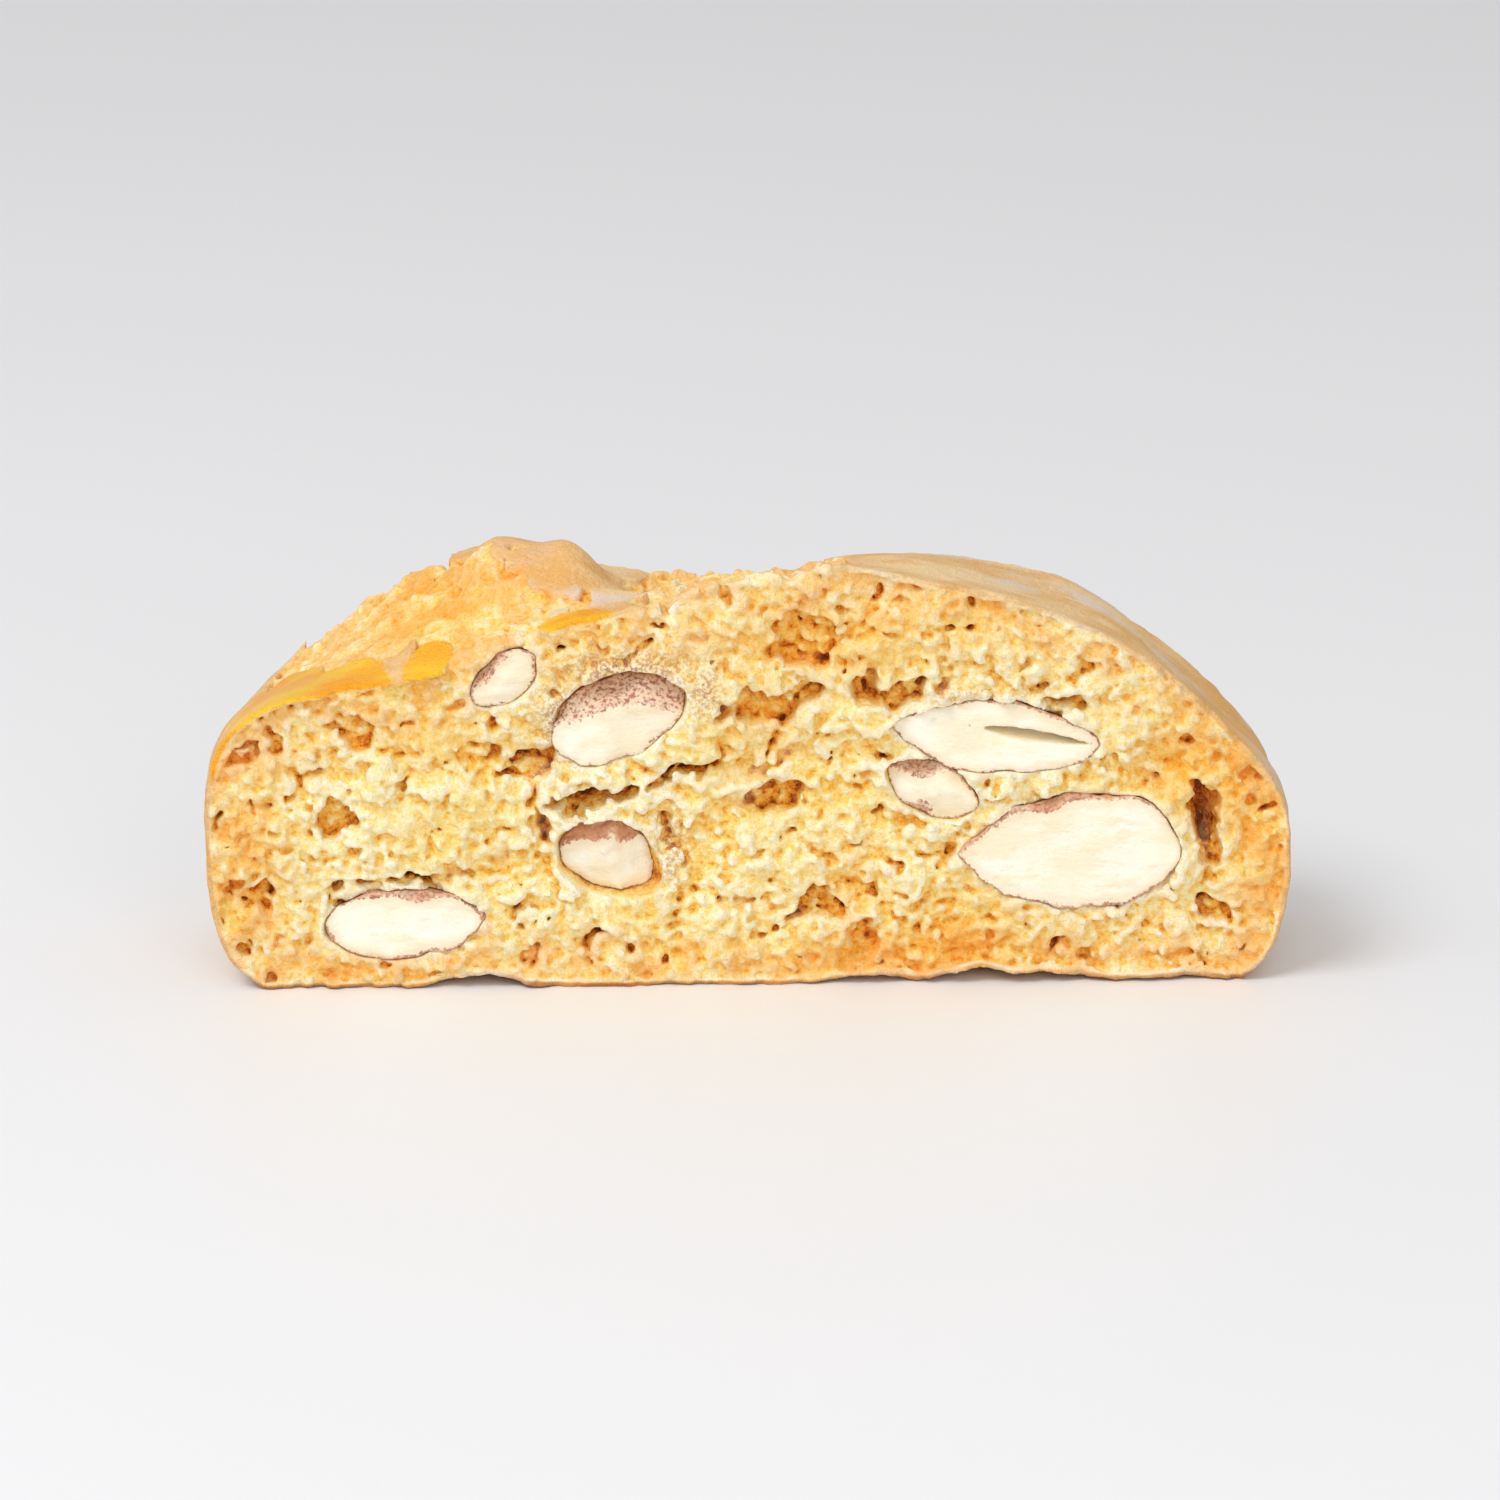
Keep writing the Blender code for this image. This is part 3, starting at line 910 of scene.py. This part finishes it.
def dough_material():
    """Crumb whose colour painted shade darkens in its creases and hollows, leaving its tips paler, and a baked
    skin.
    """
    s = Surface("baked dough")
    depth, bare, glaze = s.attribute("depth"), s.attribute("bare"), s.attribute("glaze")
    crease, hollow, stain = s.attribute("crease"), s.attribute("hollow"), s.attribute("stain")
    grain = s.noise(0.4, 4.0, 0.62)
    patchy = s.noise(3.2, 2.0, 0.5, shift=3.0)
    wide = s.noise(11.0, 2.0, 0.5, shift=7.0)

    # Painted shade: the crease and hollow attributes, which say how enclosed each place is, darken the crumb
    # from cream towards orange and brown; the grain noise adds random tone.
    inside = s.maths("ADD", s.maths("MULTIPLY", crease, 0.45), s.maths("MULTIPLY", hollow, 0.5))
    inside = s.maths("ADD", inside, s.maths("MULTIPLY", s.maths("SUBTRACT", grain, 0.5), 0.8))
    crumb = s.ramp(
        inside,
        (
            (0.32, shown(255, 244, 214)),
            (0.46, shown(255, 233, 168)),
            (0.60, shown(255, 214, 116)),
            (0.74, shown(246, 176, 58)),
            (0.86, shown(206, 116, 28)),
            (0.97, shown(120, 60, 14)),
        ),
    )
    yolk = s.step(wide, 0.5, 0.68)
    crumb = s.mix(s.maths("MULTIPLY", yolk, 0.5), crumb, s.mix(1.0, crumb, shown(255, 238, 172), "MULTIPLY"))
    pale = s.step(patchy, 0.52, 0.72)
    crumb = s.mix(s.maths("MULTIPLY", pale, 0.3), crumb, shown(255, 240, 200))
    golden = s.maths("MULTIPLY", s.attribute("golden"), s.step(patchy, 0.25, 0.55, 0.4, 1.0))
    crumb = s.mix(golden, crumb, s.mix(1.0, crumb, shown(253, 222, 150), "MULTIPLY"))
    rim = s.maths("MULTIPLY", s.step(depth, 7.5, 1.5), s.step(patchy, 0.34, 0.62))
    toasted = s.mix(1.0, crumb, shown(250, 212, 164), "MULTIPLY")
    crumb = s.mix(s.maths("MULTIPLY", rim, 0.8), crumb, toasted)

    wave = s.noise(4.5, 3.0, 0.55, (2.2, 1, 1), 1.0)
    skin = s.mix(s.step(wave, 0.36, 0.66), shown(230, 178, 108), shown(246, 212, 158))
    skin = s.mix(s.step(grain, 0.5, 0.75, 0.0, 0.45), skin, shown(252, 236, 210))
    # Greyish-white patches on the skin: partly flour dust, partly a painted sheen.
    floury = s.maths("MULTIPLY", s.step(s.noise(6.5, 4.0, 0.6, (1.6, 1, 1), 5.0), 0.5, 0.66), 0.7)
    skin = s.mix(floury, skin, shown(230, 216, 206))
    # Painted shade: the skin darkens to brown where the hollow attribute says it is enclosed.
    skin = s.mix(s.step(hollow, 0.58, 0.8), skin, shown(190, 128, 62))
    under = s.step(s.height(), 1.2 * MM, 0.2 * MM)
    skin = s.mix(under, skin, s.mix(s.step(wave, 0.4, 0.6), shown(178, 112, 48), shown(212, 152, 82)))
    skin = s.mix(s.maths("MULTIPLY", s.attribute("golden"), 0.9), skin, shown(232, 172, 92))
    shine = s.mix(s.step(wave, 0.35, 0.65), shown(252, 168, 8), shown(255, 200, 40))
    skin = s.mix(glaze, skin, shine)

    covered = s.maths("MULTIPLY", s.step(depth, 0.55, 0.25), s.step(bare, 0.25, -0.15))
    colour = s.mix(covered, crumb, skin)
    speck = s.maths("MULTIPLY", stain, s.step(grain, 0.42, 0.6))
    colour = s.mix(speck, colour, s.mix(patchy, shown(206, 148, 130), shown(160, 104, 94)))

    glossy = s.maths("MULTIPLY", glaze, covered)
    rough = s.step(glossy, 0.2, 0.9, 0.82, 0.3)
    fine = s.bump(s.noise(0.2, 2.0, 0.6), 0.12)
    lumps = s.bump(s.noise(0.38, 3.0, 0.65, shift=9.0), 0.26, fine)
    s.set(Base_Color=colour, Roughness=rough, Normal=lumps)
    s.set(Subsurface_Weight=0.12, Subsurface_Radius=(0.8, 0.6, 0.35), Subsurface_Scale=0.6 * MM)
    s.set(Specular_IOR_Level=0.3)
    return s.material


def kernel_material():
    """Cream almond meat inside a thin wrinkled brown skin, which dough and flour may dust."""
    s = Surface("almond")
    rind, dust = s.attribute("rind"), s.attribute("dust")
    wave = s.noise(3.4, 3.0, 0.5, (1.8, 1, 1))
    streak = s.noise(0.9, 3.0, 0.6, (3.0, 1, 1), 2.0)
    grain = s.noise(0.35, 3.0, 0.6, shift=4.0)
    meat = s.mix(s.step(wave, 0.35, 0.65), shown(250, 235, 204), shown(254, 248, 230))
    meat = s.mix(s.step(streak, 0.52, 0.7, 0.0, 0.5), meat, shown(242, 222, 180))
    meat = s.mix(s.step(rind, 1.1, 0.3, 0.0, 0.4), meat, shown(236, 210, 172))
    brown = s.mix(s.step(streak, 0.35, 0.65), shown(168, 100, 64), shown(214, 150, 108))
    specks = s.mix(s.step(grain, 0.36, 0.56), shown(172, 112, 100), shown(246, 222, 194))
    floury = s.maths("MULTIPLY", dust, s.step(wave, 0.3, 0.6, 0.75, 1.0))
    brown = s.mix(floury, brown, specks)
    edge = s.maths("ADD", rind, s.maths("MULTIPLY", s.maths("SUBTRACT", grain, 0.5), 0.7))
    edge = s.maths("ADD", edge, s.maths("MULTIPLY", s.maths("SUBTRACT", wave, 0.5), 0.5))
    bare = s.step(edge, 0.08, 0.26)
    s.set(Base_Color=s.mix(bare, brown, meat), Roughness=s.step(bare, 0.0, 1.0, 0.75, 0.5))
    s.set(Normal=s.bump(streak, 0.16, s.bump(grain, 0.1)))
    s.set(Subsurface_Weight=0.2, Subsurface_Radius=(1.0, 0.8, 0.55), Subsurface_Scale=1.0 * MM)
    return s.material


# ---------------------------------------------------------------- the dough's attributes


def glaze_share(points):
    """How much of the glossy yellow glaze covers each place."""
    x, y, z = points.T
    return step_up(glazed_inside(x, y), -0.08, 0.06) * (z > TOP_FROM)


def stain_share(points, stains):
    """How much of these stains each place gets."""
    x, _, z = points.T
    total = 0.0
    for stain in stains:
        reach = ((x - stain.x) / stain.half_x) ** 2 + ((z - stain.z) / stain.half_z) ** 2
        total = np.maximum(total, stain.amount * np.exp(-reach))
    return total


# ---------------------------------------------------------------- meshes and the stage


def smooth_normals(points, faces):
    """The surface's normal at each point, from the faces round it."""
    a, b, c, d = (points[faces[:, i]] for i in range(4))
    across = np.cross(c - a, np.where(faces[:, 2:3] == faces[:, 3:], c - b, d - b))
    total = np.zeros_like(points)
    for corner in faces[:, :3].T:
        for axis in range(3):
            total[:, axis] += np.bincount(corner, across[:, axis], len(points))
    return total / np.maximum(np.linalg.norm(total, axis=1, keepdims=True), 1e-9)


def new_piece(name, points, faces, attributes, material, replaced, normals=None, flat=False):
    """A mesh object in metres that rides on the one body and stands for CAD nodes.

    A flat piece also gets a map as it looks from the front.
    """
    used, faces = np.unique(faces, return_inverse=True)
    faces = faces.reshape(-1, 4)
    three = faces[:, 2] == faces[:, 3]
    corners = np.concatenate([faces[~three].ravel(), faces[three, :3].ravel()]).astype(np.int32)
    sizes = np.concatenate([np.full((~three).sum(), 4), np.full(three.sum(), 3)])
    starts = (np.cumsum(sizes) - sizes).astype(np.int32)
    mesh = bpy.data.meshes.new(name)
    mesh.vertices.add(len(used))
    mesh.vertices.foreach_set("co", (points[used] * MM).astype(np.float32).ravel())
    mesh.loops.add(len(corners))
    mesh.loops.foreach_set("vertex_index", corners)
    mesh.polygons.add(len(sizes))
    mesh.polygons.foreach_set("loop_start", starts)
    for key, values in attributes.items():
        layer = mesh.attributes.new(key, "FLOAT", "POINT")
        layer.data.foreach_set("value", values[used].astype(np.float32))
    if flat:
        seen = points[used][:, (0, 2)]
        seen = (seen - seen.min(0)) / np.ptp(seen, axis=0).max()
        layer = mesh.uv_layers.new(name="OFBake")
        layer.data.foreach_set("uv", seen[corners].astype(np.float32).ravel())
    mesh.update(calc_edges=True)
    mesh.shade_smooth()
    if normals is not None:
        mesh.normals_split_custom_set_from_vertices(normals[used])
    mesh.materials.append(material)
    piece = bpy.data.objects.new(name, mesh)
    bpy.context.scene.collection.objects.link(piece)
    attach(piece, "root")
    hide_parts(*replaced)


def add_dough(material):
    """The dough's surface, in pieces of crust and of crumb."""
    low, high = (np.array(corner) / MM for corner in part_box("baked_dough"))
    grid = Grid(low - MARGIN, high + MARGIN, VOXEL)
    field, depth, bare = dough_field(grid, THICKNESS)
    carve_sockets(field, grid, THICKNESS / 2)
    keep_core(field, grid)
    points, faces = mesh_of(field, grid, MERGE)
    solid = (field > 0).astype(np.float32)
    deep = grid.read(depth, points)
    behind = THICKNESS / 2 - np.abs(points[:, 1])
    # Painted shade: hollow and crease say how enclosed each place is, and sunk adds how far the crumb lies
    # behind the cut; the material darkens the colour by them.
    sunk = np.clip(behind - 0.9, 0, 3.0) * (behind < deep)
    attributes = {
        "depth": deep,
        "bare": grid.read(bare, points),
        "hollow": grid.read(blurred(solid, 5), points) + 0.2 * sunk,
        "crease": grid.read(blurred(solid, 2), points),
        "glaze": glaze_share(points),
        "stain": stain_share(points, STAINS) * (points[:, 1] < 0),
        "golden": stain_share(points, GOLDEN),
    }
    normals = smooth_normals(points, faces)
    x, y, _ = points[faces].mean(1).T
    crumb = (behind < deep)[faces].any(1)
    zones = (("crust", ~crumb), ("crumb_front", crumb & (y < 0)), ("crumb_back", crumb & (y >= 0)))
    for zone, chosen in zones:
        for side, half in (("left", x < 0), ("right", x >= 0)):
            patch = faces[chosen & half]
            flat = zone != "crust"
            name = f"{zone}_{side}"
            new_piece(name, points, patch, attributes, material, ["baked_dough"], normals, flat)


def add_stage():
    """A pale floor, a soft studio light from the upper left, and the camera."""
    side = 3.0
    floor_mesh = bpy.data.meshes.new("floor")
    corners = [(-side, -side, 0), (side, -side, 0), (side, side, 0), (-side, side, 0)]
    floor_mesh.from_pydata(corners, [], [(0, 1, 2, 3)])
    floor = bpy.data.objects.new("floor", floor_mesh)
    bpy.context.scene.collection.objects.link(floor)
    table = Surface("table")
    table.set(Base_Color=(0.83, 0.83, 0.845, 1), Roughness=0.5)
    floor_mesh.materials.append(table.material)

    world = bpy.data.worlds.new("studio")
    bpy.context.scene.world = world
    world.use_nodes = True
    background = world.node_tree.nodes["Background"]
    background.inputs["Color"].default_value = (1, 1, 1, 1)
    background.inputs["Strength"].default_value = 0.6

    for name, place, size, power in LAMPS:
        light = bpy.data.lights.new(name, "AREA")
        light.size = size
        light.energy = power
        lamp = bpy.data.objects.new(name, light)
        lamp.location = place
        lamp.rotation_euler = (-Vector(place)).to_track_quat("-Z", "Y").to_euler()
        bpy.context.scene.collection.objects.link(lamp)

    camera_data = bpy.data.cameras.new("camera")
    camera = bpy.data.objects.new("camera", camera_data)
    azimuth, elevation = math.radians(CAMERA_AZIMUTH), math.radians(CAMERA_ELEVATION)
    flat = math.cos(elevation)
    toward = Vector((math.sin(azimuth) * flat, -math.cos(azimuth) * flat, math.sin(elevation)))
    camera.location = Vector(CAMERA_AIM) + toward * CAMERA_DISTANCE
    camera.rotation_euler = toward.to_track_quat("Z", "Y").to_euler()
    camera_data.lens = camera_data.sensor_width * CAMERA_DISTANCE / FRAME_WIDTH
    bpy.context.scene.collection.objects.link(camera)
    bpy.context.scene.camera = camera
    bpy.context.scene.view_settings.view_transform = "Standard"


def main():
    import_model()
    add_dough(dough_material())
    add_kernels(kernel_material())
    add_stage()


main()
